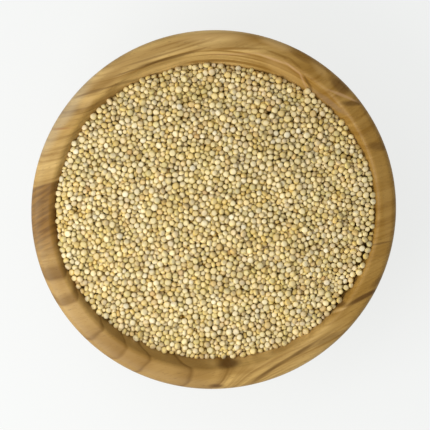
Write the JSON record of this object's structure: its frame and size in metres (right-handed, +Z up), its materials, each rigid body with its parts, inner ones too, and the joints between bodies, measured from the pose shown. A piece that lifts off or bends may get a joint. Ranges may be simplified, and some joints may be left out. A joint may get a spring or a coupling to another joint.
{
  "type": "bowl of quinoa",
  "caption": "Round turned wooden bowl with a foot and a thick rim, filled with a low heap of dry white quinoa.",
  "frame": {"origin": "centre of the foot's flat underside, where the bowl stands", "axes": "+Z up out of the bowl. -Y is the side of the bowl at the bottom of a picture taken from straight above, +X the side at its right. The bowl's grain, and its slightly longer diameter, run 16 degrees from +X towards +Y"},
  "size_m": [0.1408, 0.1384, 0.0525],
  "materials": {
    "oiled_wood": "oiled wood, satin, light brown with darker grain lines",
    "quinoa_seed": "dry pale quinoa seeds, matt, cream to straw colour"
  },
  "bodies": {
    "root": {"wooden_bowl": "oiled_wood", "quinoa_heap": "quinoa_seed"}
  },
  "joints": []
}
